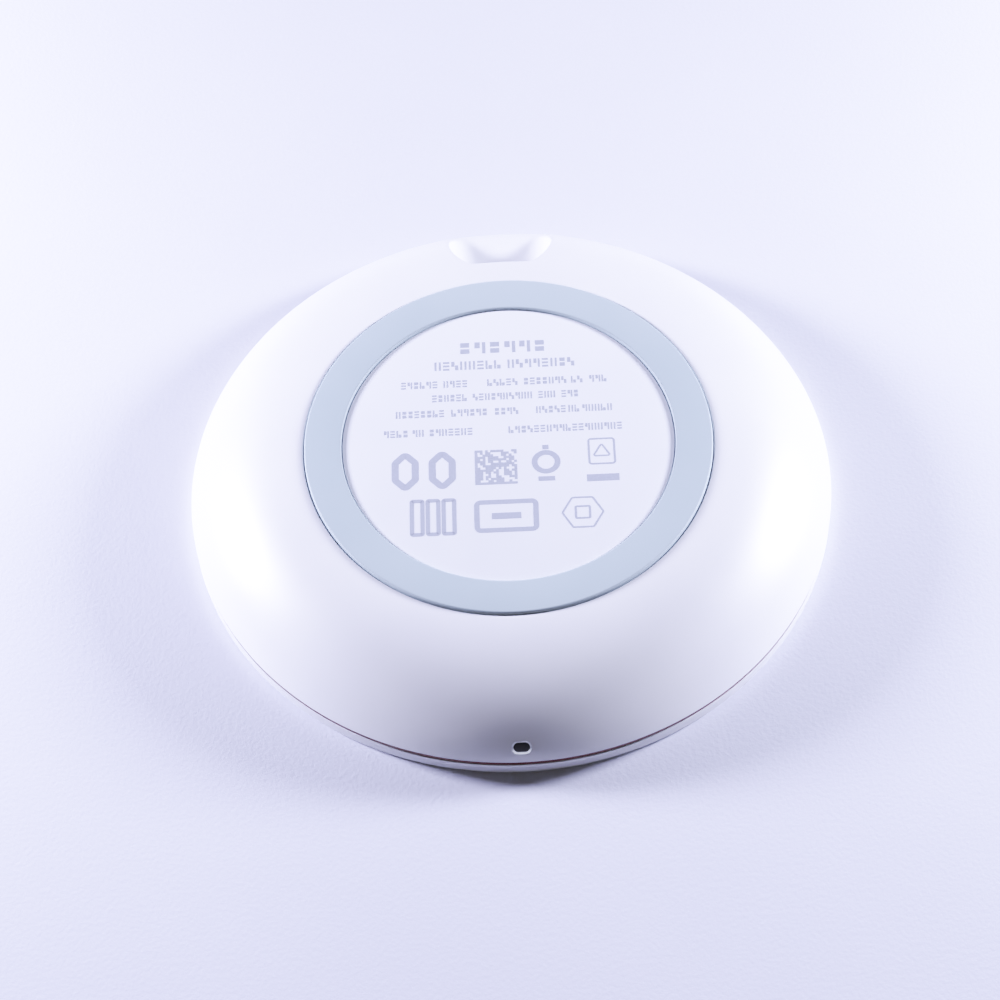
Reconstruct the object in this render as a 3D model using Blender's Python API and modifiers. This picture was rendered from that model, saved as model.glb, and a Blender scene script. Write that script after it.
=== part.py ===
"""Round wireless charging pad, stored face down: the charging face is on z = 0 and the foot is on top.

The origin is on the coil's axis at the charging face. The USB-C inlet looks along +Y and the status
indicator along -Y. Sizes below are in millimetres; MM turns them into Blender's metres.
"""

import math

import bmesh
import bpy
from mathutils import Vector

MM = 0.001
ROUND_STEPS = 72
SMALL_STEPS = 20
GAP = 0.1

# Outer form
RIM_R = 50.0
COVER_FACE_Z = 0.1
COVER_EDGE_ROUND = 0.6
ACCENT_Z = 2.95
ACCENT_THICK = 0.5
ACCENT_R = (47.6, 49.93)
DOME_START = (RIM_R, 3.4)
DOME_HANDLES = ((48.06, 8.04), (40.84, 13.79))
DOME_END = (31.66, 14.32)
DOME_STEPS = 11
WALL = 1.6

# Foot ring and label disc, both in the recess in the middle of the underside
RECESS_FLOOR_Z = 13.1
LABEL_R = 25.45
LABEL_TOP_Z = 14.3
FOOT_R = (25.6, 31.3)
FOOT_TOP_Z = 14.8
FOOT_EDGE_ROUND = 0.4

# Charging face inlay
PAD_R = 45.2
PAD_THICK = 0.6

# Top cover
COVER_INSIDE_Z = 1.9
SKIRT_R = (45.9, 47.3)
SKIRT_TOP_Z = 4.8
NOTCH_MARGIN = 0.7
NOTCH_DEPTH = (12.0, 4.0)
NOTCH_REACH = 7.6
INDICATOR_NOTCH = 6.4

# Case screws, hidden under the foot ring
SCREW_CIRCLE_R = 28.5
SCREW_ANGLES = (45, 135, 225, 315)
SCREW_HEAD_R = 1.9
SCREW_HEAD_Z = (10.8, 12.2)
SCREW_SHANK_R = 0.95
SCREW_TIP_Z = 4.2
HOUSING_BOSS_R = 3.0
HOUSING_BOSS_Z = 9.3
HEAD_PLAY = 0.25
BOSS_ROOT = 0.8
COVER_BOSS_R = 2.6
COVER_BOSS_TOP_Z = 9.1

# Recess for the plug, and the USB-C receptacle in its end wall
PLUG_RECESS_SIZE = (16.5, 8.5)
PLUG_RECESS_ROUND = 4.2
PLUG_RECESS_Z = 9.65
PLUG_RECESS_Y = 36.0
PLUG_WALL = 1.4
SLOT_DEPTH = 6.0
USB_Z = 9.5
USB_SIZE = (8.94, 7.35, 3.26)
USB_INSIDE = (8.34, 2.56)
USB_FRONT_Y = 35.9
USB_BACK_WALL = 0.6
USB_SLOT = (9.4, 3.7)
TONGUE_SIZE = (6.69, 5.9, 0.7)

# Indicator
INDICATOR_SIZE = (2.8, 1.56)
INDICATOR_Z = 5.5
LENS_Y = (-48.7, -46.9)
LENS_PLAY = 0.15
LED_SIZE = (1.6, 0.9, 0.9)
GUIDE_SIZE = (2.0, 0.9)
GUIDE_LIFT = 0.15
SLEEVE_SIZE = (4.0, 3.4, 1.9)
SLEEVE_BORE = (2.3, 1.2)
SLEEVE_Y = -43.8

# Coil stack, from the cover upwards
COIL_R = (10.0, 22.0)
COIL_Z = (2.1, 3.3)
FILM_Z = (3.4, 3.55)
FERRITE_R = 25.0
FERRITE_Z = (3.65, 4.65)
SHIELD_R = 24.8
SHIELD_Z = (4.85, 5.35)

# Circuit board
BOARD_R = 25.0
BOARD_Z = (6.75, 7.75)
BOARD_PORT_TAB = (22.0, 34.1)
BOARD_LED_TAB = (8.0, 42.0)
POST_X = 20.5
POST_R = 2.2
PILOT_R = 0.9
BOARD_HOLE_R = 1.1
BOARD_SCREW_R = (0.75, 1.7)
BOARD_SCREW_HEAD = 0.8
BOARD_SCREW_GRIP = 2.4

WHITE = ((0.86, 0.87, 0.88), 0.35, 0.0)
LABEL_WHITE = ((0.80, 0.81, 0.84), 0.45, 0.0)
PAD_WHITE = ((0.82, 0.83, 0.84), 0.6, 0.0)
FOOT_GREY = ((0.52, 0.58, 0.65), 0.7, 0.0)
ACCENT_RED = ((0.45, 0.02, 0.06), 0.3, 0.0)
COPPER = ((0.72, 0.33, 0.16), 0.35, 1.0)
FERRITE_GREY = ((0.06, 0.06, 0.065), 0.6, 0.0)
FILM_AMBER = ((0.65, 0.38, 0.10), 0.3, 0.0)
ALUMINIUM = ((0.78, 0.79, 0.80), 0.3, 1.0)
BOARD_GREEN = ((0.02, 0.16, 0.07), 0.4, 0.0)
CHIP_BLACK = ((0.02, 0.02, 0.022), 0.5, 0.0)
CERAMIC = ((0.42, 0.30, 0.18), 0.5, 0.0)
STEEL = ((0.62, 0.62, 0.63), 0.3, 1.0)
SMOKED = ((0.01, 0.01, 0.012), 0.15, 0.0)
CLEAR = ((0.85, 0.87, 0.88), 0.1, 0.0)
PAD_BLUE = ((0.35, 0.50, 0.62), 0.8, 0.0)


def clear_scene():
    for thing in list(bpy.data.objects):
        bpy.data.objects.remove(thing, do_unlink=True)


def new_collection(name, parent):
    made = bpy.data.collections.new(name)
    parent.children.link(made)
    return made


def material(name, finish):
    colour, roughness, metallic = finish
    made = bpy.data.materials.new(name)
    made.use_nodes = True
    shader = made.node_tree.nodes["Principled BSDF"]
    shader.inputs["Base Color"].default_value = (*colour, 1.0)
    shader.inputs["Roughness"].default_value = roughness
    shader.inputs["Metallic"].default_value = metallic
    return made


def place(name, data, into, finish=None):
    """A new object in a collection; a piece has a finish, and a cutter has none and isn't rendered."""
    made = bpy.data.objects.new(name, data)
    into.objects.link(made)
    if finish:
        data.materials.append(material(name, finish))
    else:
        made.hide_render = True
        made.display_type = "WIRE"
    return made


def shade(data):
    data.shade_smooth()
    data.set_sharp_from_angle(angle=math.radians(35))


def turned(name, outline, into, finish=None, steps=ROUND_STEPS, loop=False, at=(0, 0)):
    """A profile of (radius, z) points turned about a vertical axis; loop joins its two ends."""
    data = bpy.data.meshes.new(name)
    points = [Vector((r * MM, 0, z * MM)) for r, z in outline]
    edges = [(i, i + 1) for i in range(len(points) - 1)]
    if loop:
        edges.append((len(points) - 1, 0))
    data.from_pydata(points, edges, [])
    made = place(name, data, into, finish)
    made.location = (at[0] * MM, at[1] * MM, 0)
    screw = made.modifiers.new("turn", "SCREW")
    screw.axis = "Z"
    screw.angle = math.tau
    screw.steps = steps
    screw.render_steps = steps
    screw.use_merge_vertices = True
    screw.merge_threshold = 0.00001
    screw.use_smooth_shade = True
    return made


def disc(name, radius, low, high, into, finish=None, steps=ROUND_STEPS, at=(0, 0)):
    outline = [(0, high), (radius, high), (radius, low), (0, low)]
    return turned(name, outline, into, finish, steps, at=at)


def bar(name, size, centre, into, finish=None, axis="Y", rounding=0.0, segments=4):
    """A box whose four edges along one axis are rounded."""
    shape = bmesh.new()
    bmesh.ops.create_cube(shape, size=1)
    bmesh.ops.scale(shape, vec=Vector(size) * MM, verts=shape.verts)
    if rounding:
        along = "XYZ".index(axis)
        chosen = []
        for edge in shape.edges:
            run = edge.verts[0].co - edge.verts[1].co
            if abs(run[along]) > 0.9 * size[along] * MM:
                chosen.append(edge)
        bmesh.ops.bevel(
            shape, geom=chosen, offset=rounding * MM, segments=segments, profile=0.5, affect="EDGES"
        )
    data = bpy.data.meshes.new(name)
    shape.to_mesh(data)
    shape.free()
    if rounding:
        shade(data)
    made = place(name, data, into, finish)
    made.location = Vector(centre) * MM
    return made


def boolean(target, operation, other):
    step = target.modifiers.new(operation.lower(), "BOOLEAN")
    step.operation = operation
    step.solver = "EXACT"
    if isinstance(other, bpy.types.Collection):
        step.operand_type = "COLLECTION"
        step.collection = other
    else:
        step.object = other
    return step


def arc(centre, radius, start, end, steps):
    """Points on an arc in the (radius, z) plane, angles in degrees from the outward direction."""
    turns = [math.radians(start + (end - start) * i / steps) for i in range(steps + 1)]
    return [(centre[0] + radius * math.cos(a), centre[1] + radius * math.sin(a)) for a in turns]


def dome_point(t):
    """A point of the dome's outer curve and its unit normal, from the rim (0) to the recess (1)."""
    corners = [Vector(p) for p in (DOME_START, *DOME_HANDLES, DOME_END)]
    u = 1 - t
    weights = (u**3, 3 * u * u * t, 3 * u * t * t, t**3)
    point = sum((w * c for w, c in zip(weights, corners)), Vector((0, 0)))
    slopes = (u * u, 2 * u * t, t * t)
    run = sum((s * (corners[i + 1] - corners[i]) for i, s in enumerate(slopes)), Vector((0, 0)))
    run.normalize()
    return point, Vector((run.y, -run.x))


def dome_curve(depth, steps):
    """The dome's curve moved inwards by a depth, listed from the recess down to the rim."""
    made = []
    for i in range(steps + 1):
        point, normal = dome_point(1 - i / steps)
        made.append(tuple(point - normal * depth))
    return made


def polar(radius, degrees):
    a = math.radians(degrees)
    return radius * math.cos(a), radius * math.sin(a)


def make_housing(pieces, cutters):
    """The dome: a shell with the recess for foot and label, the plug's recess and the indicator's hole."""
    ceiling = RECESS_FLOOR_Z - WALL
    rim_z = ACCENT_Z + ACCENT_THICK / 2 + GAP
    inner_curve = reversed(dome_curve(WALL, DOME_STEPS))
    inside = [p for p in inner_curve if rim_z + 0.3 < p[1] < ceiling - 0.3]
    inner_rim_r = inside[0][0]
    outline = [(0, RECESS_FLOOR_Z), (DOME_END[0], RECESS_FLOOR_Z), (DOME_END[0], DOME_END[1] - 0.1)]
    outline.append((DOME_END[0] + 0.12, DOME_END[1] - 0.01))
    outline += dome_curve(0, DOME_STEPS)[1:]
    outline += [(RIM_R - 0.1, rim_z), (inner_rim_r, rim_z)]
    outline += inside
    outline += [(inside[-1][0] - 1.2, ceiling), (0, ceiling)]
    housing = turned("bottom_housing", outline, pieces, WHITE)

    core_outline = [(0, DOME_END[1] - 0.8)] + dome_curve(WALL / 2, DOME_STEPS)
    core_outline = [p for p in core_outline if p[1] > rim_z + 0.5]
    core_outline += [(core_outline[-1][0], rim_z + 0.4), (0, rim_z + 0.4)]
    core = turned("housing_core", core_outline, cutters)
    width, height = PLUG_RECESS_SIZE
    reach = RIM_R + 4 - PLUG_RECESS_Y + PLUG_WALL
    middle_y = PLUG_RECESS_Y - PLUG_WALL + reach / 2
    added = new_collection("housing_additions", cutters)
    block = bar(
        "plug_block",
        (width + 2 * PLUG_WALL, reach, height + 2 * PLUG_WALL),
        (0, middle_y, PLUG_RECESS_Z),
        added,
        rounding=PLUG_RECESS_ROUND + PLUG_WALL - 0.05,
        segments=6,
    )
    boolean(block, "INTERSECT", core)
    removed = new_collection("housing_cuts", cutters)
    for i, degrees in enumerate(SCREW_ANGLES):
        spot = polar(SCREW_CIRCLE_R, degrees)
        boss = (HOUSING_BOSS_R, HOUSING_BOSS_Z, ceiling + BOSS_ROOT)
        disc(f"screw_boss_{i + 1}", *boss, added, steps=SMALL_STEPS, at=spot)
        seat = SCREW_HEAD_Z[0] - GAP
        hole = [(0, RECESS_FLOOR_Z + 1), (SCREW_HEAD_R + HEAD_PLAY, RECESS_FLOOR_Z + 1)]
        hole += [(SCREW_HEAD_R + HEAD_PLAY, seat), (SCREW_SHANK_R + HEAD_PLAY, seat)]
        hole += [(SCREW_SHANK_R + HEAD_PLAY, HOUSING_BOSS_Z - 1), (0, HOUSING_BOSS_Z - 1)]
        turned(f"screw_hole_{i + 1}", hole, removed, steps=SMALL_STEPS, at=spot)
    for side in (-1, 1):
        name = "left" if side < 0 else "right"
        spot = (side * POST_X, 0)
        post = (POST_R, BOARD_Z[1] + GAP, ceiling + BOSS_ROOT)
        disc(f"board_post_{name}", *post, added, steps=SMALL_STEPS, at=spot)
        pilot = (PILOT_R, BOARD_Z[1] - 1, ceiling - 0.6)
        disc(f"board_pilot_{name}", *pilot, removed, steps=SMALL_STEPS, at=spot)
    boolean(housing, "UNION", added)

    recess_reach = RIM_R + 6 - PLUG_RECESS_Y
    bar(
        "plug_recess",
        (width, recess_reach, height),
        (0, PLUG_RECESS_Y + recess_reach / 2, PLUG_RECESS_Z),
        removed,
        rounding=PLUG_RECESS_ROUND,
        segments=6,
    )
    slot_w, slot_h = USB_SLOT
    slot_size = (slot_w, SLOT_DEPTH, slot_h)
    bar("usb_slot", slot_size, (0, PLUG_RECESS_Y, USB_Z), removed, rounding=slot_h / 2 - 0.05)
    hole_w, hole_h = INDICATOR_SIZE
    hole_size = (hole_w, 10, hole_h)
    bar("indicator_hole", hole_size, (0, -RIM_R, INDICATOR_Z), removed, rounding=hole_h / 2 - 0.05)
    boolean(housing, "DIFFERENCE", removed)


def make_cover(pieces, cutters):
    """The charging face's cover, with its register skirt inside the dome's rim and four screw bosses."""
    lip_z = ACCENT_Z - ACCENT_THICK / 2 - GAP
    outline = [(0, COVER_INSIDE_Z), (SKIRT_R[0], COVER_INSIDE_Z), (SKIRT_R[0], SKIRT_TOP_Z)]
    outline += [(SKIRT_R[1] - 0.3, SKIRT_TOP_Z), (SKIRT_R[1], SKIRT_TOP_Z - 0.4), (SKIRT_R[1], lip_z)]
    outline += [(RIM_R - 0.1, lip_z), (RIM_R, lip_z - 0.1)]
    corner = (RIM_R - COVER_EDGE_ROUND, COVER_FACE_Z + COVER_EDGE_ROUND)
    outline += arc(corner, COVER_EDGE_ROUND, 0, -90, 4)
    recess_z = PAD_THICK + GAP
    outline += [(PAD_R + 0.2, COVER_FACE_Z), (PAD_R + 0.2, recess_z), (0, recess_z)]
    cover = turned("top_cover", outline, pieces, WHITE)
    added = new_collection("cover_additions", cutters)
    removed = new_collection("cover_cuts", cutters)
    for i, degrees in enumerate(SCREW_ANGLES):
        spot = polar(SCREW_CIRCLE_R, degrees)
        boss = (COVER_BOSS_R, COVER_INSIDE_Z - 0.5, COVER_BOSS_TOP_Z)
        disc(f"cover_boss_{i + 1}", *boss, added, steps=SMALL_STEPS, at=spot)
        hole_r = SCREW_SHANK_R + 0.2
        disc(f"cover_hole_{i + 1}", hole_r, SCREW_TIP_Z - 0.8, 11, removed, steps=SMALL_STEPS, at=spot)
    boolean(cover, "UNION", added)
    plug_w = PLUG_RECESS_SIZE[0] + 2 * (PLUG_WALL + NOTCH_MARGIN)
    notch_y = RIM_R - NOTCH_REACH
    notch_z = COVER_INSIDE_Z + 2.4
    bar("plug_notch", (plug_w, *NOTCH_DEPTH), (0, notch_y, notch_z), removed)
    bar("indicator_notch", (INDICATOR_NOTCH, *NOTCH_DEPTH), (0, -notch_y, notch_z), removed)
    boolean(cover, "DIFFERENCE", removed)


def make_outside(pieces):
    """The charging inlay, the accent ring at the parting line, the label disc and the foot ring."""
    pad = [(0, PAD_THICK), (PAD_R, PAD_THICK), (PAD_R, 0.2)]
    pad += [(PAD_R - 0.06, 0.06), (PAD_R - 0.2, 0), (0, 0)]
    turned("charging_pad", pad, pieces, PAD_WHITE)
    high = ACCENT_Z + ACCENT_THICK / 2
    low = ACCENT_Z - ACCENT_THICK / 2
    inner, outer = ACCENT_R
    accent = [(inner, high), (outer, high), (outer, low), (inner, low)]
    turned("accent_ring", accent, pieces, ACCENT_RED, loop=True)
    base_z = RECESS_FLOOR_Z + GAP
    label = [(0, LABEL_TOP_Z), (LABEL_R - 0.15, LABEL_TOP_Z), (LABEL_R, LABEL_TOP_Z - 0.15)]
    turned("label_disc", label + [(LABEL_R, base_z), (0, base_z)], pieces, LABEL_WHITE)
    inner, outer = FOOT_R
    level = FOOT_TOP_Z - FOOT_EDGE_ROUND
    foot = arc((inner + FOOT_EDGE_ROUND, level), FOOT_EDGE_ROUND, 180, 90, 3)
    foot += arc((outer - FOOT_EDGE_ROUND, level), FOOT_EDGE_ROUND, 90, 0, 3)
    foot += [(outer, base_z), (inner, base_z)]
    turned("foot_ring", foot, pieces, FOOT_GREY, loop=True)


def make_case_screws(pieces):
    low, high = SCREW_HEAD_Z
    outline = [(0, high - 0.5), (0.75, high - 0.5), (0.75, high), (SCREW_HEAD_R - 0.3, high)]
    outline += [(SCREW_HEAD_R, high - 0.4), (SCREW_HEAD_R, low), (SCREW_SHANK_R, low)]
    outline += [(SCREW_SHANK_R, SCREW_TIP_Z + 0.6), (0.4, SCREW_TIP_Z), (0, SCREW_TIP_Z)]
    for i, degrees in enumerate(SCREW_ANGLES):
        spot = polar(SCREW_CIRCLE_R, degrees)
        turned(f"case_screw_{i + 1}", outline, pieces, STEEL, steps=SMALL_STEPS, at=spot)


def wire(name, route, radius, pieces, finish):
    """A round wire along a list of points."""
    data = bpy.data.curves.new(name, "CURVE")
    data.dimensions = "3D"
    data.bevel_depth = radius * MM
    data.bevel_resolution = 2
    data.use_fill_caps = True
    spline = data.splines.new("POLY")
    spline.points.add(len(route) - 1)
    for point, spot in zip(spline.points, route):
        point.co = (*(Vector(spot) * MM), 1)
    return place(name, data, pieces, finish)


def make_coil_stack(pieces):
    """Coil, adhesive film, ferrite and shield plate, with the coil's two leads up to the board."""
    inner, outer = COIL_R
    low, high = COIL_Z
    section = arc((inner + 0.5, high - 0.5), 0.5, 180, 90, 2)
    section += arc((outer - 0.5, high - 0.5), 0.5, 90, 0, 2)
    section += [(outer, low), (inner, low)]
    turned("transmit_coil", section, pieces, COPPER, steps=48, loop=True)
    disc("adhesive_film", COIL_R[1], *FILM_Z, pieces, FILM_AMBER, steps=48)
    disc("ferrite_shield", FERRITE_R, *FERRITE_Z, pieces, FERRITE_GREY, steps=48)
    disc("shield_plate", SHIELD_R, *SHIELD_Z, pieces, ALUMINIUM, steps=48)
    disc("thermistor", 1.2, COVER_INSIDE_Z + GAP, COIL_Z[1] - 0.2, pieces, CHIP_BLACK, steps=16)
    radius = 0.45
    start_z = COIL_Z[0] + radius + 0.1
    end_z = BOARD_Z[0] - GAP
    bend = 1.2
    out_y = -(FERRITE_R + radius + 0.35)
    for name, x in (("coil_lead_start", -1.6), ("coil_lead_end", 1.6)):
        route = [(x, -(COIL_R[1] + 0.3), start_z), (x, out_y + bend, start_z)]
        for i in range(1, 4):
            a = math.radians(90 * i / 4)
            route.append((x, out_y + bend - bend * math.sin(a), start_z + bend - bend * math.cos(a)))
        route += [(x, out_y, start_z + bend), (x, out_y, end_z)]
        wire(name, route, radius, pieces, COPPER)


def make_board(pieces, cutters):
    """The round board with one tab to the receptacle and one to the status LED."""
    board = disc("circuit_board", BOARD_R, *BOARD_Z, pieces, BOARD_GREEN)
    middle = sum(BOARD_Z) / 2
    thick = BOARD_Z[1] - BOARD_Z[0]
    added = new_collection("board_additions", cutters)
    for name, (width, reach), side in (
        ("port_tab", BOARD_PORT_TAB, 1),
        ("led_tab", BOARD_LED_TAB, -1),
    ):
        size = (width, reach - 10, thick)
        bar(name, size, (0, side * (10 + reach) / 2, middle), added, axis="Z", rounding=1.0)
    boolean(board, "UNION", added)
    removed = new_collection("board_cuts", cutters)
    for side in (-1, 1):
        name = f"board_hole_{'left' if side < 0 else 'right'}"
        hole = (BOARD_HOLE_R, BOARD_Z[0] - 1, BOARD_Z[1] + 1)
        disc(name, *hole, removed, steps=SMALL_STEPS, at=(side * POST_X, 0))
    boolean(board, "DIFFERENCE", removed)
    shank_r, head_r = BOARD_SCREW_R
    head_z = (BOARD_Z[0] - GAP - BOARD_SCREW_HEAD, BOARD_Z[0] - GAP)
    tip_z = BOARD_Z[1] + BOARD_SCREW_GRIP
    outline = [(0, tip_z), (0.4, tip_z), (shank_r, tip_z - 0.5), (shank_r, head_z[1])]
    outline += [(head_r, head_z[1]), (head_r, head_z[0] + 0.3)]
    outline += [(head_r - 0.4, head_z[0]), (0, head_z[0])]
    for name, side in (("board_screw_left", -1), ("board_screw_right", 1)):
        turned(name, outline, pieces, STEEL, steps=SMALL_STEPS, at=(side * POST_X, 0))


def make_components(pieces):
    """What is soldered to the board's upper side, and the thermal pad between its chip and the dome."""
    top = BOARD_Z[1] + GAP

    def chip(name, size, x, y, finish, rounding=0.2):
        centre = (x, y, top + size[2] / 2)
        bar(name, size, centre, pieces, finish, axis="Z", rounding=rounding, segments=2)

    chip("control_chip", (7, 7, 0.9), 0, 3, CHIP_BLACK)
    chip("power_stage_left", (5, 6, 1.0), -8.5, 3, CHIP_BLACK)
    chip("power_stage_right", (5, 6, 1.0), 8.5, 3, CHIP_BLACK)
    for i in range(4):
        chip(f"resonant_capacitor_{i + 1}", (3.2, 2.5, 2.4), (i - 1.5) * 4.4, -8, CERAMIC, 0.15)
    chip("filter_inductor", (7, 7, 3.0), -11, 14.5, FERRITE_GREY, 0.8)
    chip("crystal", (3.2, 2.5, 0.8), 5, 11, STEEL, 0.4)
    can = (2.6, top, top + 3.2)
    disc("input_capacitor", *can, pieces, ALUMINIUM, steps=SMALL_STEPS, at=(11, 15))
    chip_top = top + 0.9 + GAP
    pad_high = RECESS_FLOOR_Z - WALL - GAP
    pad_size = (10, 10, pad_high - chip_top)
    centre = (0, 3, (chip_top + pad_high) / 2)
    bar("thermal_pad", pad_size, centre, pieces, PAD_BLUE, axis="Z", rounding=0.5, segments=2)


def make_receptacle(pieces, cutters):
    """The USB-C receptacle: a drawn steel shell, open in front, round a plastic tongue."""
    length, height = USB_SIZE[1:]
    middle = (0, USB_FRONT_Y - length / 2, USB_Z)
    shell = bar("usb_shell", USB_SIZE, middle, pieces, STEEL, rounding=height / 2 - 0.05, segments=5)
    inner_w, inner_h = USB_INSIDE
    hollow = bar(
        "usb_hollow",
        (inner_w, length, inner_h),
        (0, middle[1] + USB_BACK_WALL, USB_Z),
        cutters,
        rounding=inner_h / 2 - 0.05,
        segments=5,
    )
    boolean(shell, "DIFFERENCE", hollow)
    tongue_y = USB_FRONT_Y - length + USB_BACK_WALL + GAP + TONGUE_SIZE[1] / 2
    tongue = (0, tongue_y, USB_Z)
    bar("usb_tongue", TONGUE_SIZE, tongue, pieces, CHIP_BLACK, axis="Z", rounding=0.4, segments=2)


def make_indicator(pieces, cutters):
    """A smoked lens in the dome's hole, a light guide behind it in a black sleeve, and the LED."""
    hole_w, hole_h = INDICATOR_SIZE
    front, back = LENS_Y
    size = (hole_w - 2 * LENS_PLAY, back - front, hole_h - 2 * LENS_PLAY)
    centre = (0, (front + back) / 2, INDICATOR_Z)
    bar("indicator_lens", size, centre, pieces, SMOKED, rounding=size[2] / 2 - 0.05)
    led_y = -(BOARD_LED_TAB[1] - 1.6)
    led_z = BOARD_Z[0] - GAP - LED_SIZE[2] / 2
    bar("status_led", LED_SIZE, (0, led_y, led_z), pieces, CLEAR, axis="Z", rounding=0.15, segments=2)
    guide_y = (back + GAP, led_y - LED_SIZE[1] / 2 - GUIDE_LIFT)
    guide_size = (GUIDE_SIZE[0], guide_y[1] - guide_y[0], GUIDE_SIZE[1])
    guide_centre = (0, sum(guide_y) / 2, INDICATOR_Z + GUIDE_LIFT)
    bar("light_guide", guide_size, guide_centre, pieces, CLEAR, rounding=0.3, segments=2)
    middle = (0, SLEEVE_Y, guide_centre[2])
    sleeve = bar("light_sleeve", SLEEVE_SIZE, middle, pieces, CHIP_BLACK, rounding=0.4, segments=2)
    bore_size = (SLEEVE_BORE[0], 8, SLEEVE_BORE[1])
    bore = bar("sleeve_bore", bore_size, middle, cutters, rounding=0.3, segments=2)
    boolean(sleeve, "DIFFERENCE", bore)


def main():
    clear_scene()
    scene_root = bpy.context.scene.collection
    pieces = new_collection("wireless_charging_pad", scene_root)
    cutters = new_collection("cutters", scene_root)
    make_housing(pieces, cutters)
    make_cover(pieces, cutters)
    make_outside(pieces)
    make_case_screws(pieces)
    make_coil_stack(pieces)
    make_board(pieces, cutters)
    make_components(pieces)
    make_receptacle(pieces, cutters)
    make_indicator(pieces, cutters)


main()
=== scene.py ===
import math
import bmesh
import bpy
import numpy as np
from mathutils import Matrix, Vector


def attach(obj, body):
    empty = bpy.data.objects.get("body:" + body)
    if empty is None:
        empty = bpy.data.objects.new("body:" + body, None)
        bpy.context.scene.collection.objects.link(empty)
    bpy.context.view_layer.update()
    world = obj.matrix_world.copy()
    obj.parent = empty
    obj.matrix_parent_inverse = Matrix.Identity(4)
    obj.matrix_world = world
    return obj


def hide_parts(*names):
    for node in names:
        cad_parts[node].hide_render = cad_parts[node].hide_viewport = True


# wireless charging pad, lying face down: its underside, foot ring and label are up
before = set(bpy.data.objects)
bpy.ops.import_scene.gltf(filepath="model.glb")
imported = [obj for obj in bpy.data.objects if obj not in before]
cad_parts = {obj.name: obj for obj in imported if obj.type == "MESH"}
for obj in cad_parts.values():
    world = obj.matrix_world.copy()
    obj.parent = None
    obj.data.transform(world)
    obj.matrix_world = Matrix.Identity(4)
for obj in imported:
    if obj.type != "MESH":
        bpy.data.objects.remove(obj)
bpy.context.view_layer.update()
scene = bpy.context.scene
mm = 0.001
print("frame loaded:", len(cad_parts), "nodes")

# camera, lamps, floor

cameraSet = {
    "place": (1.75, -236.8, 343.5),  # millimetres
    "aim": (-1.69, -6.59, 8.0),
    "roll": 3.34,
    "lens": 95.24,
}


def makeCamera(s):
    data = bpy.data.cameras.new("camera")
    data.lens = s["lens"]
    data.sensor_width = 36
    data.clip_start = 0.01
    data.clip_end = 20
    camera = bpy.data.objects.new("camera", data)
    scene.collection.objects.link(camera)
    place = Vector(s["place"]) * mm
    look = (Vector(s["aim"]) * mm - place).to_track_quat("-Z", "Y").to_matrix().to_4x4()
    tilt = Matrix.Rotation(math.radians(-s["roll"]), 4, "Z")
    camera.matrix_world = Matrix.Translation(place) @ look @ tilt
    scene.camera = camera


makeCamera(cameraSet)
toneSet = (
    (0, 0),
    (0.077, 0.2),
    (0.154, 0.4),
    (0.269, 0.6),
    (0.385, 0.735),
    (0.538, 0.86),
    (0.731, 0.95),
    (1.0, 1.0),
)


def makeTone(points):
    # bright tones roll off softly instead of clipping
    view = scene.view_settings
    view.view_transform = "Standard"
    view.use_curve_mapping = True
    mapping = view.curve_mapping
    mapping.use_clip = False
    line = mapping.curves[3]
    while len(line.points) < len(points):
        line.points.new(0.5, 0.5)
    for point, place in zip(line.points, points):
        point.location = place
    mapping.update()


makeTone(toneSet)


class Link:
    # a node's output that can be used in sums
    def __init__(self, tree, socket):
        self.tree = tree
        self.socket = socket

    def calc(self, operation, *terms):
        return self.tree.add("ShaderNodeMath", {"operation": operation}, dict(enumerate(terms)))

    def __add__(self, other):
        return self.calc("ADD", self, other)

    def __radd__(self, other):
        return self.calc("ADD", other, self)

    def __sub__(self, other):
        return self.calc("SUBTRACT", self, other)

    def __rsub__(self, other):
        return self.calc("SUBTRACT", other, self)

    def __mul__(self, other):
        return self.calc("MULTIPLY", self, other)

    def __rmul__(self, other):
        return self.calc("MULTIPLY", other, self)

    def __gt__(self, other):
        return self.calc("GREATER_THAN", self, other)

    def __lt__(self, other):
        return self.calc("LESS_THAN", self, other)


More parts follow.
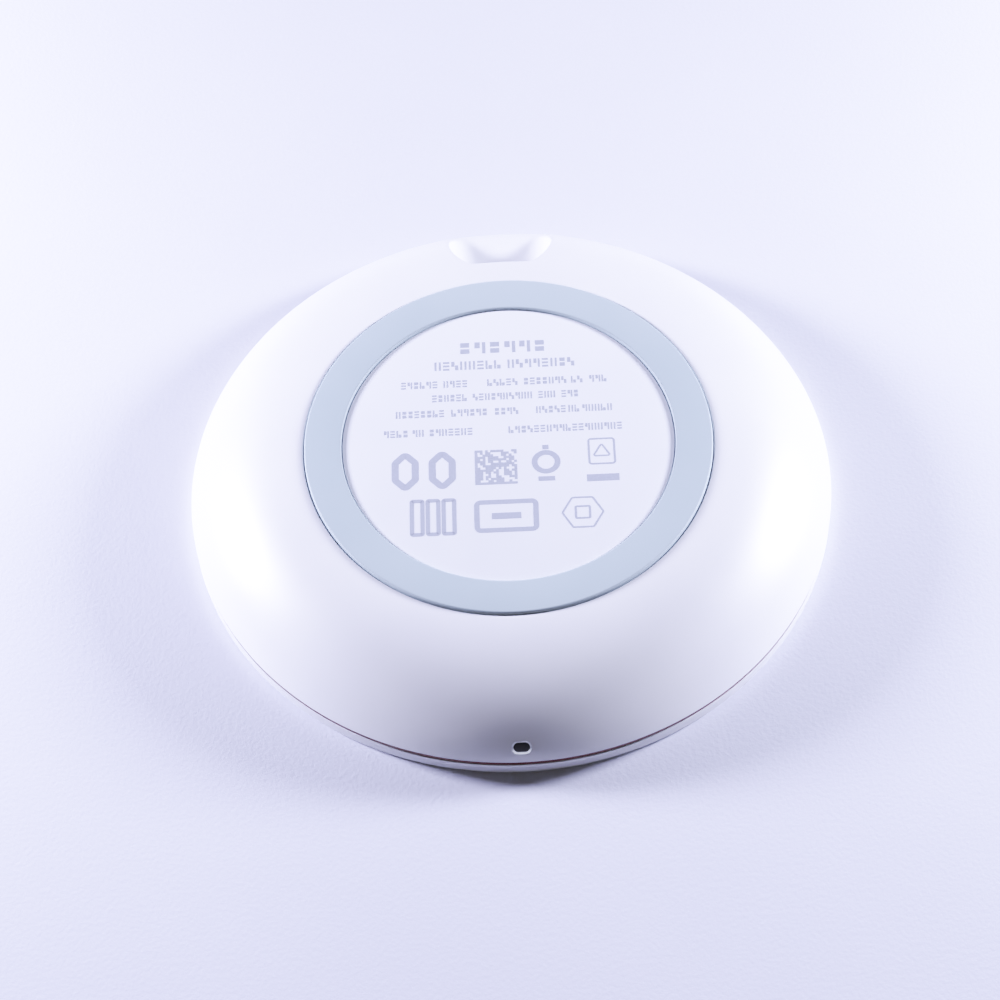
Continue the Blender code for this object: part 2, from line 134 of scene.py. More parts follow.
class Tree:
    # adds nodes to a shader tree or a geometry tree
    def __init__(self, tree):
        self.tree = tree
        tree.nodes.clear()

    def add(self, kind, settings=None, values=None, out=0):
        node = self.tree.nodes.new(kind)
        for name, value in (settings or {}).items():
            setattr(node, name, value)
        for key, value in (values or {}).items():
            self.plug(node.inputs[key], value)
        return Link(self, node.outputs[out]) if node.outputs else node

    def plug(self, socket, value):
        if isinstance(value, Link):
            self.tree.links.new(value.socket, socket)
        elif isinstance(value, list):
            for one in value:
                self.tree.links.new(one.socket, socket)
        else:
            socket.default_value = value

    def fade(self, value, low, high):
        # 0 below low, 1 above high
        values = {"Value": value, "From Min": low, "From Max": high}
        return self.add("ShaderNodeMapRange", {"interpolation_type": "SMOOTHSTEP"}, values)

    def blend(self, share, first, second):
        # two colours mixed
        values = {0: share, 6: first, 7: second}
        return self.add("ShaderNodeMix", {"data_type": "RGBA"}, values, out=2)

    def place(self):
        return self.add("ShaderNodeTexCoord", out="Object")

    def grain(self, scale, detail=2.0, where=None):
        # noise with scale lumps a metre
        values = {"Vector": where or self.place(), "Scale": scale, "Detail": detail}
        return self.add("ShaderNodeTexNoise", None, values)

    def stretch(self, x, y, z):
        return self.add("ShaderNodeMapping", None, {"Vector": self.place(), "Scale": (x, y, z)})

    def rounded(self, curve, radius, steps):
        # a curve's corners rounded
        values = {"Curve": curve, "Radius": radius}
        curve = self.add("GeometryNodeFilletCurve", {"mode": "POLY"}, values)
        curve.socket.node.inputs["Count"].default_value = steps
        return curve

    def surface(self, values, height=None, depth=0.00001):
        # the whole finish; height is a bump of this depth in metres
        if height is not None:
            bump = {"Height": height, "Distance": depth, "Strength": 1.0}
            values["Normal"] = self.add("ShaderNodeBump", None, bump)
        shader = self.add("ShaderNodeBsdfPrincipled", None, values)
        self.add("ShaderNodeOutputMaterial", None, {"Surface": shader})


lightSet = {
    # soft light from all round: the way each patch of it lies, how tight it is, its colour
    "patches": (
        ((0, 0, 1), 0, (0.0075, 0.0075, 0.0075)),
        ((0, 0.944, 0.33), 3, (0.020, 0.020, 0.046)),
        ((0, -0.944, 0.33), 3, (0.034, 0.029, 0.008)),
    ),
    # softboxes: way round from the back, height in degrees, distance and side in metres, colour in watts
    "boxes": (
        (-75.0, 23, 0.36, 0.075, (1.09, 1.10, 1.58)),
        (75.2, 23, 0.36, 0.075, (1.05, 1.07, 1.50)),
    ),
}


def makeSky(s):
    world = bpy.data.worlds.new("studio")
    world.use_nodes = True
    scene.world = world
    tree = Tree(world.node_tree)
    way = tree.add("ShaderNodeTexCoord", out="Generated")
    total = None
    for axis, tight, tint in s["patches"]:
        dot = {"operation": "DOT_PRODUCT"}
        share = tree.add("ShaderNodeVectorMath", dot, {0: way, 1: axis}, out="Value")
        share = share.calc("MAXIMUM", share, 0.0)
        share = share.calc("POWER", share, float(tight))
        patch = tree.add("ShaderNodeVectorMath", {"operation": "SCALE"}, {0: tint, "Scale": share})
        both = {0: total, 1: patch}
        total = patch if total is None else tree.add("ShaderNodeVectorMath", {"operation": "ADD"}, both)
    shine = tree.add("ShaderNodeBackground", None, {"Color": total, "Strength": 1.0})
    tree.add("ShaderNodeOutputWorld", None, {"Surface": shine})


def makeBox(name, turn, lift, far, side, tint):
    data = bpy.data.lights.new(name, "AREA")
    data.size = side
    data.energy = max(tint)
    data.color = [part / max(tint) for part in tint]
    lamp = bpy.data.objects.new(name, data)
    lamp.visible_camera = False
    scene.collection.objects.link(lamp)
    flat, turn, lift = math.cos(math.radians(lift)), math.radians(turn), math.radians(lift)
    start = far * Vector((flat * math.sin(turn), flat * math.cos(turn), math.sin(lift)))
    face = (-start).to_track_quat("-Z", "Y").to_matrix().to_4x4()
    lamp.matrix_world = Matrix.Translation(start) @ face


makeSky(lightSet)
for number, settings in enumerate(lightSet["boxes"]):
    makeBox(f"softbox_{number + 1}", *settings)

floorSet = {
    "radius": 6.0,
    "light": (0.70, 0.71, 0.80),
    "shade": (0.68, 0.69, 0.78),
    "rough": 0.75,
}


def makeFloor(s):
    form = bmesh.new()
    bmesh.ops.create_circle(form, cap_ends=True, segments=96, radius=s["radius"])
    data = bpy.data.meshes.new("floor")
    form.to_mesh(data)
    form.free()
    floor = bpy.data.objects.new("floor", data)
    scene.collection.objects.link(floor)
    made = bpy.data.materials.new("floor_board")
    made.use_nodes = True
    tree = Tree(made.node_tree)
    cloud = tree.grain(14, 4)
    fibre = tree.grain(1500, 3)
    colour = tree.blend(tree.fade(cloud, 0.35, 0.65), (*s["shade"], 1), (*s["light"], 1))
    tree.surface({"Base Color": colour, "Roughness": s["rough"]}, fibre, 0.00005)
    data.materials.append(made)


makeFloor(floorSet)
print("camera, lamps and floor set")

# finishes


def newFinish(name):
    made = bpy.data.materials.new(name)
    made.use_nodes = True
    return made, Tree(made.node_tree)


shellSet = {"light": (0.875, 0.88, 0.90), "shade": (0.845, 0.85, 0.88), "rough": 0.355}


def shellFinish(s):
    # satin moulded polycarbonate: spark-eroded grain, slow cloudiness, faint rubbed streaks
    made, tree = newFinish("satin_white_shell")
    fine = tree.grain(7000, 2)
    cloud = tree.grain(60, 3)
    rubbed = tree.grain(1, 3, tree.stretch(90, 900, 300))
    colour = tree.blend(tree.fade(cloud, 0.3, 0.7), (*s["shade"], 1), (*s["light"], 1))
    rough = s["rough"] + (cloud - 0.5) * 0.08 + (fine - 0.5) * 0.10
    rough = rough - tree.fade(rubbed, 0.62, 0.75) * 0.05
    values = {"Base Color": colour, "Roughness": rough, "Specular IOR Level": 1.0}
    tree.surface(values, fine, 0.000003)
    return made


footSet = {"light": (0.435, 0.51, 0.535), "shade": (0.405, 0.48, 0.505), "dust": (0.66, 0.71, 0.74)}


def footFinish(s):
    # matte silicone with a fine leathery skin and a few specks of dust
    made, tree = newFinish("grey_silicone")
    skin = tree.grain(4200, 3)
    cloud = tree.grain(45, 3)
    speck = tree.add("ShaderNodeTexVoronoi", None, {"Vector": tree.place(), "Scale": 420.0})
    dust = (speck < 0.05) * (tree.grain(300, 1) > 0.56)
    colour = tree.blend(tree.fade(cloud, 0.3, 0.7), (*s["shade"], 1), (*s["light"], 1))
    colour = tree.blend(dust * 0.5, colour, (*s["dust"], 1))
    rough = 0.58 + (skin - 0.5) * 0.2
    tree.surface({"Base Color": colour, "Roughness": rough, "Sheen Weight": 0.15}, skin, 0.000010)
    return made


labelSet = {"light": (0.83, 0.845, 0.885), "shade": (0.805, 0.82, 0.865)}


def labelFinish(s):
    # printed polycarbonate disc: smoother than the shell, slight orange peel
    made, tree = newFinish("label_white")
    peel = tree.grain(1100, 2)
    cloud = tree.grain(70, 2)
    colour = tree.blend(tree.fade(cloud, 0.3, 0.7), (*s["shade"], 1), (*s["light"], 1))
    rough = 0.42 + (peel - 0.5) * 0.12
    tree.surface({"Base Color": colour, "Roughness": rough}, peel, 0.000004)
    return made


def inkFinish(colour):
    made, tree = newFinish("label_ink")
    mottle = tree.grain(5200, 2)
    pale = [part * 1.09 for part in colour]
    worn = tree.blend(tree.fade(mottle, 0.35, 0.75), (*colour, 1), (*pale, 1))
    tree.surface({"Base Color": worn, "Roughness": 0.5 + (mottle - 0.5) * 0.2}, mottle, 0.000003)
    return made


def accentFinish(deep, bright):
    # metallic lacquer in deep red
    made, tree = newFinish("accent_red")
    flake = tree.grain(16000, 1)
    colour = tree.blend(tree.fade(flake, 0.4, 0.7), (*deep, 1), (*bright, 1))
    values = {"Base Color": colour, "Roughness": 0.34 + flake * 0.15, "Metallic": 0.35}
    tree.surface({**values, "Coat Weight": 0.3})
    return made


def padFinish(light, shade):
    # soft-touch inlay with a fine beaded skin
    made, tree = newFinish("soft_touch_white")
    bead = tree.add("ShaderNodeTexVoronoi", None, {"Vector": tree.place(), "Scale": 2600.0})
    cloud = tree.grain(50, 3)
    colour = tree.blend(tree.fade(cloud, 0.3, 0.7), (*shade, 1), (*light, 1))
    tree.surface({"Base Color": colour, "Roughness": 0.62 + (cloud - 0.5) * 0.1}, bead, 0.000012)
    return made


def mouldedFinish(name, light, shade, rough, scale=6000.0, depth=0.000004):
    # plain moulded or sintered body with its own grain
    made, tree = newFinish(name)
    fine = tree.grain(scale, 3)
    cloud = tree.grain(scale / 40, 2)
    colour = tree.blend(tree.fade(fine * 0.5 + cloud * 0.5, 0.35, 0.65), (*shade, 1), (*light, 1))
    tree.surface({"Base Color": colour, "Roughness": rough + (fine - 0.5) * 0.16}, fine, depth)
    return made


def metalFinish(name, light, shade, rough, streak=(400, 9000, 9000)):
    # drawn or rolled metal with streaks along one direction
    made, tree = newFinish(name)
    lines = tree.grain(1, 3, tree.stretch(*streak))
    stain = tree.grain(500, 3)
    colour = tree.blend(tree.fade(lines * 0.6 + stain * 0.4, 0.3, 0.7), (*shade, 1), (*light, 1))
    rough = rough + (lines - 0.5) * 0.18 + (stain - 0.5) * 0.1
    values = {"Base Color": colour, "Roughness": rough, "Metallic": 1.0}
    tree.surface(values, lines, 0.0000015)
    return made


def boardFinish(mask, trace):
    # solder mask over copper tracks laid on a square grid
    made, tree = newFinish("board_green")
    grid = {"Vector": tree.place(), "Scale": 900.0, "Randomness": 0.35}
    cells = tree.add("ShaderNodeTexVoronoi", {"feature": "DISTANCE_TO_EDGE"}, grid)
    weave = tree.grain(5000, 2)
    tracks = tree.fade(cells, 0.10, 0.16)
    colour = tree.blend(tracks, (*trace, 1), (*mask, 1))
    values = {"Base Color": colour, "Roughness": 0.35 + (weave - 0.5) * 0.2, "Coat Weight": 0.3}
    tree.surface(values, 1 - tracks, 0.00002)
    return made


def collarFinish(s):
    # clear light-guide plastic; its lower side glows faintly, a painted highlight standing for the glint
    # on the lower lip of the lens hole
    made, tree = newFinish("painted_glint_collar")
    fine = tree.grain(5000, 2)
    height = tree.add("ShaderNodeSeparateXYZ", None, {"Vector": tree.place()}, out="Z")
    # painted highlight: a glow that grows towards the collar's lower side
    glintShare = tree.fade(height, s["glintHigh"] * mm, s["glintLow"] * mm)
    paintedGlint = tree.blend(glintShare, (0, 0, 0, 1), (*s["paintedGlint"], 1))
    values = {"Base Color": (*s["light"], 1), "Roughness": 0.3 + (fine - 0.5) * 0.1}
    values |= {"Emission Color": paintedGlint, "Emission Strength": 1.0}
    tree.surface(values, fine, 0.000002)
    return made


collarSet = {
    "light": (0.80, 0.82, 0.86),
    # the collar's painted highlight: the glow's colour, and the heights over which it fades in
    "paintedGlint": (0.20, 0.21, 0.27),
    "glintLow": 5.0,
    "glintHigh": 5.5,
    "middle": 5.5,
    "outer": (1.41, 0.82),
    "inner": (1.22, 0.68),
    "innerMiddle": 5.55,
    "front": -48.82,
    "back": -48.0,
    "lean": 0.68,
}


finishes = {
    "shell": shellFinish(shellSet),
    "foot": footFinish(footSet),
    "label": labelFinish(labelSet),
    "ink": inkFinish((0.385, 0.405, 0.475)),
    "accent": accentFinish((0.08, 0.004, 0.010), (0.14, 0.007, 0.018)),
    "pad": padFinish((0.84, 0.845, 0.86), (0.80, 0.805, 0.82)),
    "collar": collarFinish(collarSet),
    "board": boardFinish((0.015, 0.13, 0.055), (0.03, 0.22, 0.09)),
}
# moulded bodies: light and dark tones, roughness, then grain scale and depth
for name, settings in {
    "smoked_lens": ((0.010, 0.010, 0.012), (0.005, 0.005, 0.007), 0.5, 3000.0, 0.000001),
    "chip_black": ((0.028, 0.028, 0.03), (0.016, 0.016, 0.018), 0.5),
    "ferrite_grey": ((0.075, 0.075, 0.08), (0.05, 0.05, 0.055), 0.6, 3000.0, 0.00001),
    "ceramic_tan": ((0.46, 0.34, 0.21), (0.38, 0.27, 0.16), 0.45),
    "filler_blue": ((0.38, 0.53, 0.65), (0.31, 0.46, 0.58), 0.8, 2500.0, 0.00003),
    "film_amber": ((0.68, 0.41, 0.12), (0.6, 0.35, 0.09), 0.25, 900.0),
    "clear_guide": ((0.86, 0.88, 0.89), (0.82, 0.84, 0.85), 0.1, 900.0, 0.000002),
}.items():
    finishes[name] = mouldedFinish(name, *settings)
# metals: light and dark tones, roughness, then how the streaks run
for name, settings in {
    "plated_steel": ((0.66, 0.66, 0.67), (0.52, 0.52, 0.54), 0.3),
    "contact_gold": ((0.86, 0.66, 0.32), (0.74, 0.53, 0.22), 0.24),
    "coil_copper": ((0.78, 0.38, 0.19), (0.62, 0.27, 0.12), 0.35, (3000, 3000, 9000)),
    "rolled_aluminium": ((0.80, 0.81, 0.82), (0.70, 0.71, 0.72), 0.3, (200, 7000, 7000)),
}.items():
    finishes[name] = metalFinish(name, *settings)
print("finishes made:", len(finishes))

# mesh helpers; outlines are in millimetres


def newPiece(name, data, finish, stands):
    # a finished piece riding on the pad, standing for these CAD nodes
    data.materials.clear()
    data.materials.append(finishes[finish])
    data.shade_smooth()
    data.set_sharp_from_angle(angle=math.radians(40))
    piece = bpy.data.objects.new(name, data)
    scene.collection.objects.link(piece)
    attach(piece, "root")
    if stands:
        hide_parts(*stands)
    return piece


def meshOf(name, points, faces):
    # points in millimetres; doubles merged, faces turned outwards
    data = bpy.data.meshes.new(name)
    data.from_pydata((np.array(points, float) * mm).tolist(), [], faces)
    form = bmesh.new()
    form.from_mesh(data)
    bmesh.ops.remove_doubles(form, verts=form.verts, dist=0.0000005)
    bmesh.ops.dissolve_degenerate(form, edges=form.edges, dist=0.0000005)
    bmesh.ops.recalc_face_normals(form, faces=form.faces)
    form.to_mesh(data)
    form.free()
    return data


def roundCorners(outline, radii, steps=5):
    # corners of a (radius, height) outline replaced by arcs of the given radius
    made = []
    last = len(outline) - 1
    for i, (corner, radius) in enumerate(zip(outline, radii)):
        if not radius or i in (0, last):
            made.append(corner)
            continue
        here = Vector(corner)
        before = (Vector(outline[i - 1]) - here).normalized()
        after = (Vector(outline[i + 1]) - here).normalized()
        half = before.angle(after) / 2
        reach = radius / math.tan(half)
        middle = here + (before + after).normalized() * (radius / math.sin(half))
        first = here + before * reach - middle
        second = here + after * reach - middle
        for k in range(steps + 1):
            way = first.lerp(second, k / steps)
            made.append(tuple(middle + way.normalized() * radius))
    return made


def bridge(first, second):
    # faces between two closed rows of points
    count = len(first)
    after = [(i + 1) % count for i in range(count)]
    return [(first[i], first[n], second[n], second[i]) for i, n in enumerate(after)]


def turnedMesh(name, outline, columns):
    # a (radius, height) outline turned about the pad's axis
    turns = np.arange(columns) * math.tau / columns
    rows = [(r * np.cos(turns), r * np.sin(turns), np.full(columns, z)) for r, z in outline]
    points = np.array(rows).transpose(0, 2, 1).reshape(-1, 3)
    faces = []
    for start in range(0, (len(outline) - 1) * columns, columns):
        middle = start + columns
        faces += bridge(range(start, middle), range(middle, middle + columns))
    return meshOf(name, points, faces)


def slabLoop(half, tall, bend, steps=8):
    # a rounded rectangle's outline in x and z
    bend = min(bend, half, tall)
    made = []
    for k, (sx, sz) in enumerate(((1, 1), (-1, 1), (-1, -1), (1, -1))):
        for i in range(steps + 1):
            turn = math.radians(90 * k + 90 * i / steps)
            x = sx * (half - bend) + bend * math.cos(turn)
            made.append((x, sz * (tall - bend) + bend * math.sin(turn)))
    return made


def slabMesh(name, sections, middle):
    # rounded rectangles at places along y, joined in order: half width, half height, bend, y
    points, faces = [], []
    for half, tall, bend, y in sections:
        points += [(x, y, z + middle) for x, z in slabLoop(half, tall, bend)]
    size = len(slabLoop(1, 1, 1))
    last = (len(sections) - 1) * size
    for start in range(0, last, size):
        middle = start + size
        faces += bridge(range(start, middle), range(middle, middle + size))
    faces += [tuple(range(size)), tuple(range(last, last + size))]
    return meshOf(name, points, faces)


def solidsMesh(boxes=(), posts=()):
    # boxes as place and size; posts as place, radius, low and high end
    form = bmesh.new()
    for place, size in boxes:
        middle = Matrix.Translation(Vector(place) * mm)
        bmesh.ops.create_cube(form, matrix=middle @ Matrix.Diagonal((*(Vector(size) * mm), 1)))
    for (x, y), radius, low, high in posts:
        middle = Matrix.Translation(Vector((x, y, (low + high) / 2)) * mm)
        sizes = {"radius1": radius * mm, "radius2": radius * mm, "depth": (high - low) * mm}
        bmesh.ops.create_cone(form, cap_ends=True, segments=40, matrix=middle, **sizes)
    data = bpy.data.meshes.new("solids")
    form.to_mesh(data)
    form.free()
    return data


def carved(data, tool, operation="DIFFERENCE"):
    # the first mesh with the second cut away from it, or added
    host, cutter = bpy.data.objects.new("host", data), bpy.data.objects.new("cutter", tool)
    for one in (host, cutter):
        scene.collection.objects.link(one)
    step = host.modifiers.new("carve", "BOOLEAN")
    step.operation = operation
    step.solver = "EXACT"
    step.object = cutter
    bpy.context.view_layer.update()
    seen = host.evaluated_get(bpy.context.evaluated_depsgraph_get())
    made = bpy.data.meshes.new_from_object(seen)
    host.modifiers.clear()
    for one in (host, cutter):
        bpy.data.objects.remove(one)
    return made


print("building the shell")

# bottom housing: a turned dome whose grid opens into the plug's recess and the indicator's hole

housingSet = {
    "columns": 384,
    "domeRows": 64,
    "dome": ((50.0, 3.4), (48.06, 8.04), (40.84, 13.79), (31.66, 14.32)),
    "rimZ": 3.34,
    "rimRound": 0.05,
    "lipRound": 0.16,
    "recessFloor": 13.1,
}

hollowSet = {
    "columns": 192,
    "rows": 28,
    "wall": 1.6,
    "low": 2.4,
    "high": 11.5,
    "pocketWall": 1.4,
    "pocketEnd": 52.0,
    "screwCircle": 28.5,
    "screwTurns": (45, 135, 225, 315),
    "screwBoss": (3.0, 9.3, 12.4),  # radius, low and high end
    "boardPost": (2.2, 7.85, 12.4),
    "boardPostX": 20.5,
}

# opening sizes; rows and columns say which squares of the dome's grid give way to it
plugSet = {
    "side": 1,
    "height": 9.52,  # of the recess's middle
    "size": (16.5, 8.24),
    "wallY": 36.0,
    "edge": (0.2, 0.92),  # rounding at the straight inner edge, and elsewhere
    "foot": 0.8,  # rounding between side wall and end wall
    "slotHeight": 9.5,
    "slot": (9.4, 3.7),
    "slotEnd": 28.2,
    "columns": 17,
    "rows": (3, 59),
}

indicatorSet = {
    "side": -1,
    "height": 5.5,
    "size": (2.86, 1.68),
    "wallY": 47.2,
    "edge": (0.14, 0.14),
    "foot": 0.05,
    "slotHeight": 5.5,
    "slot": (2.46, 1.28),
    "slotEnd": 45.8,
    "columns": 4,
    "rows": (0, 16),
}


class Dome:
    # the dome's outer curve, looked up both ways
    def __init__(self, corners, rows):
        t = np.linspace(0, 1, 4001)
        shares = ((1 - t) ** 3, 3 * (1 - t) ** 2 * t, 3 * (1 - t) * t * t, t**3)
        self.t = t
        self.r = sum(s * c[0] for s, c in zip(shares, corners))
        self.z = sum(s * c[1] for s, c in zip(shares, corners))
        self.rows = np.linspace(0, 1, rows + 1)

    def at(self, t):
        return np.interp(t, self.t, self.r), np.interp(t, self.t, self.z)

    def share(self, z):
        return np.interp(z, self.z, self.t)

    def front(self, u, v):
        # how far out the dome is at a sideways place u and a height v
        r = np.interp(v, self.z, self.r)
        return np.sqrt(np.maximum(r * r - u * u, 0))

    def spot(self, angle, t):
        r, z = self.at(t)
        return np.stack([r * np.sin(angle), r * np.cos(angle), z], -1)


def slotReach(way, size):
    # how far a ray from the middle of a round-ended slot goes to its outline
    tall = size[1] / 2
    flat = size[0] / 2 - tall
    cosine, sine = np.abs(way[:, 0]), np.abs(way[:, 1])
    toFlat = tall / np.maximum(sine, 1e-9)
    toEnd = flat * cosine + np.sqrt(np.maximum(tall**2 - (flat * sine) ** 2, 0))
    return np.where(toFlat * cosine <= flat, toFlat, toEnd)


loopSet = {
    "dome": 10,  # rows of points from the grid to the lip
    "lip": 7,
    "wall": (8, 6, 6),  # down the wall, round its foot, across the end wall
    "fadeIn": 4.0,  # depth over which the lip's rounding grows to its full size
    "search": 4.5,  # how far out on the dome the lip may begin
    "slotEdge": 0.12,
}


def openingLoops(dome, s, edgeAngle, edgeShare):
    # rings of points from a rectangle on the dome, over the rounded lip, down the walls and into the slot
    start = dome.spot(edgeAngle, edgeShare)
    middle = np.array([0, s["height"]])
    way = start[:, (0, 2)] - middle
    way /= np.linalg.norm(way, axis=1)[:, None]
    near, far = np.zeros(len(way)), np.full(len(way), 20.0)
    for step in range(50):
        half = (near + far) / 2
        u, v = (middle + way * half[:, None]).T
        inside = (half < slotReach(way, s["size"])) & (dome.front(u, v) > s["wallY"])
        near, far = np.where(inside, half, near), np.where(inside, far, half)
    reach = near
    edge = middle + way * reach[:, None]
    lip = np.stack([edge[:, 0], np.maximum(dome.front(*edge.T), s["wallY"]), edge[:, 1]], -1)

    # lip rounding: small where the recess meets its end wall, larger along its sides
    depth = lip[:, 1] - s["wallY"]
    sideways = np.clip(depth / loopSet["fadeIn"], 0, 1)
    sideways = sideways * sideways * (3 - 2 * sideways)
    bend = s["edge"][0] + (s["edge"][1] - s["edge"][0]) * sideways
    out = np.zeros((len(way), 3))
    steps = np.linspace(0, loopSet["search"], 900)
    for i in range(len(way)):
        trail = middle + way[i] * (reach[i] + steps[:, None])
        line = np.stack([trail[:, 0], dome.front(*trail.T), trail[:, 1]], -1)
        run = np.concatenate([[0], np.cumsum(np.linalg.norm(np.diff(line, axis=0), axis=1))])
        out[i] = [np.interp(bend[i], run, line[:, k]) for k in range(3)]

    outAngle = np.arctan2(out[:, 0], out[:, 1])
    outShare = dome.share(out[:, 2])
    loops = []
    for k in range(loopSet["dome"]):
        share = 1 - (1 - (k + 1) / loopSet["dome"]) ** 1.3  # closer together near the lip
        angle = edgeAngle + (outAngle - edgeAngle) * share
        loops.append(dome.spot(angle, edgeShare + (outShare - edgeShare) * share))

    slotMiddle = np.array([0, s["slotHeight"]])
    slotEdge = slotMiddle + way * slotReach(way, s["slot"])[:, None]
    wallFoot = np.stack([edge[:, 0], np.full(len(way), s["wallY"]), edge[:, 1]], -1)
    slotLip = np.stack([slotEdge[:, 0], np.full(len(way), s["wallY"]), slotEdge[:, 1]], -1)
    across = np.linalg.norm(slotLip - wallFoot, axis=1)
    soft = np.minimum(s["foot"], np.minimum(0.6 * depth, 0.4 * across))

    def along(run):
        # a place on the way from the lip down the wall and across the end wall
        down = lip.copy()
        down[:, 1] -= run
        over = wallFoot + (slotLip - wallFoot) * ((run - depth) / across)[:, None]
        share = np.clip((run - depth + soft) / np.maximum(2 * soft, 1e-9), 0, 1)[:, None]
        high = wallFoot + np.stack([0 * soft, soft, 0 * soft], -1)
        low = wallFoot + (slotLip - wallFoot) * (soft / across)[:, None]
        turn = high * (1 - share) ** 2 + wallFoot * 2 * share * (1 - share) + low * share**2
        picked = np.where((run < depth - soft)[:, None], down, over)
        return np.where(((run >= depth - soft) & (run <= depth + soft))[:, None], turn, picked)

    inner = along(bend)
    for k in range(loopSet["lip"]):
        share = (k + 1) / loopSet["lip"]
        loops.append(out * (1 - share) ** 2 + lip * 2 * share * (1 - share) + inner * share**2)
    first = np.maximum(depth - soft, bend + 0.03)
    second = np.maximum(depth + soft, first + 0.08)
    third = depth + across - loopSet["slotEdge"]
    stops = ((bend, first), (first, second), (second, third))
    for (low, high), count in zip(stops, loopSet["wall"]):
        for k in range(count):
            loops.append(along(low + (high - low) * (k + 1) / count))
    inward = (slotMiddle - slotEdge) / np.linalg.norm(slotMiddle - slotEdge, axis=1)[:, None]
    for back, shrink in ((0.04, 0.03), (0.12, 0.06), (s["wallY"] - s["slotEnd"], 0.06)):
        ring = slotLip.copy()
        ring[:, 1] -= back
        ring[:, 0] += inward[:, 0] * shrink
        ring[:, 2] += inward[:, 1] * shrink
        loops.append(ring)
    return loops


def housingMesh(s, openings):
    dome = Dome(s["dome"], s["domeRows"])
    columns = s["columns"]
    count = s["domeRows"] + 1
    angles = np.arange(columns) * math.tau / columns
    points = [dome.spot(angles, np.full(columns, t)) for t in dome.rows]
    faces = []
    taken = set()
    for opening in openings:
        middle = 0 if opening["side"] > 0 else columns // 2
        low, high = opening["rows"]
        wide = opening["columns"]
        ring = [(low, middle + i) for i in range(-wide, wide)]
        ring += [(j, middle + wide) for j in range(low, high)]
        ring += [(high, middle - i) for i in range(-wide, wide)]
        ring += [(j, middle - wide) for j in range(high, low, -1)]
        taken |= {(j, (middle + i) % columns) for j in range(low, high) for i in range(-wide, wide)}
        edgeAngle = np.array([i * math.tau / columns for j, i in ring])
        if opening["side"] < 0:
            edgeAngle = math.pi - edgeAngle  # worked out facing +Y, then turned round
        edgeShare = np.array([dome.rows[j] for j, i in ring])
        last = [j * columns + i % columns for j, i in ring]
        for loop in openingLoops(dome, opening, edgeAngle, edgeShare):
            if opening["side"] < 0:
                loop = loop * np.array([1, -1, 1])
            base = sum(len(row) for row in points)
            points.append(loop)
            here = range(base, base + len(loop))
            faces += bridge(last, here)
            last = here
        faces.append(tuple(last))
    for j in range(count - 1):
        for i in range(columns):
            if (j, i) not in taken:
                n = (i + 1) % columns
                above = (j + 1) * columns
                faces.append((j * columns + i, j * columns + n, above + n, above + i))

    # the rest of the turned outline: over the lip into the recess, and under the rim
    rimR, rimZ = s["dome"][0]
    lipR, lipZ = s["dome"][-1]
    floorZ = s["recessFloor"]
    bend = s["lipRound"]
    lip = [(lipR - bend * 0.35, lipZ - bend * 0.12), (lipR - bend * 0.8, lipZ - bend * 0.44)]
    lip += [(lipR - bend, lipZ - bend * 1.2), (lipR - bend, floorZ + 0.12)]
    lip += [(lipR - bend - 0.12, floorZ), (26.0, floorZ), (14.0, floorZ), (4.0, floorZ)]
    rim = [(rimR - 0.03, rimZ - 0.08), (rimR - s["rimRound"], s["rimZ"])]
    rim += [(46.0, s["rimZ"]), (30.0, s["rimZ"]), (8.0, s["rimZ"])]
    for outline, startRow in ((lip, count - 1), (rim, 0)):
        last = range(startRow * columns, (startRow + 1) * columns)
        for r, z in outline:
            base = sum(len(row) for row in points)
            points.append(np.stack([r * np.sin(angles), r * np.cos(angles), np.full(columns, z)], -1))
            here = range(base, base + columns)
            faces += bridge(last, here)
            last = here
        base = sum(len(row) for row in points)
        points.append(np.array([[0, 0, outline[-1][1]]]))
        for i in range(columns):
            faces.append((last[i], last[(i + 1) % columns], base))
    return meshOf("housing_shell", np.concatenate(points), faces)


def around(radius, turns):
    # places on a circle round the pad's axis
    ways = [math.radians(turn) for turn in turns]
    return [(radius * math.cos(way), radius * math.sin(way)) for way in ways]


def hollowMesh(s, dome, pocket):
    # the space inside the dome, without the walls of the plug's pocket, the bosses and the posts
    r, z = dome.at(np.linspace(0, 1, s["rows"]))
    along = np.stack([np.gradient(r), np.gradient(z)])
    along /= np.linalg.norm(along, axis=0)
    inside = zip(r - along[1] * s["wall"], z + along[0] * s["wall"])
    inside = [spot for spot in inside if s["low"] + 1.3 < spot[1] < s["high"] - 0.3]
    outline = [(0, s["low"]), (inside[0][0], s["low"]), *inside]
    outline += [(inside[-1][0] - 1.2, s["high"]), (0, s["high"])]
    space = turnedMesh("hollow", outline, s["columns"])
    half, tall = (side / 2 + s["pocketWall"] for side in pocket["size"])
    ends = (pocket["wallY"] - s["pocketWall"], s["pocketEnd"])
    block = slabMesh("pocket", [(half, tall, tall, y) for y in ends], pocket["height"])
    posts = [(spot, *s["screwBoss"]) for spot in around(s["screwCircle"], s["screwTurns"])]
    posts += [((side * s["boardPostX"], 0), *s["boardPost"]) for side in (-1, 1)]
    return carved(carved(space, block), solidsMesh((), posts))


housing = housingMesh(housingSet, (plugSet, indicatorSet))
dome = Dome(housingSet["dome"], housingSet["domeRows"])
housing = carved(housing, hollowMesh(hollowSet, dome, plugSet))
newPiece("housing_shell", housing, "shell", ["bottom_housing"])
print("housing faces:", len(housing.polygons))

# top cover, charging inlay, accent ring, label and foot

coverSet = {
    "columns": 288,
    "rim": 50.0,
    "face": 0.1,
    "edge": 0.6,
    "lip": 2.5,
    "skirt": (45.9, 47.3, 4.8),
    "inside": 1.9,
    "recess": (45.4, 0.7),
    "boss": (2.6, 1.5, 9.1),  # radius, low and high end
    # gaps in the skirt for the plug's pocket and the indicator: place, size
    "notches": (((0, 41.5, 4.6), (20.7, 12.0, 4.0)), ((0, -41.5, 4.6), (6.4, 12.0, 4.0))),
}


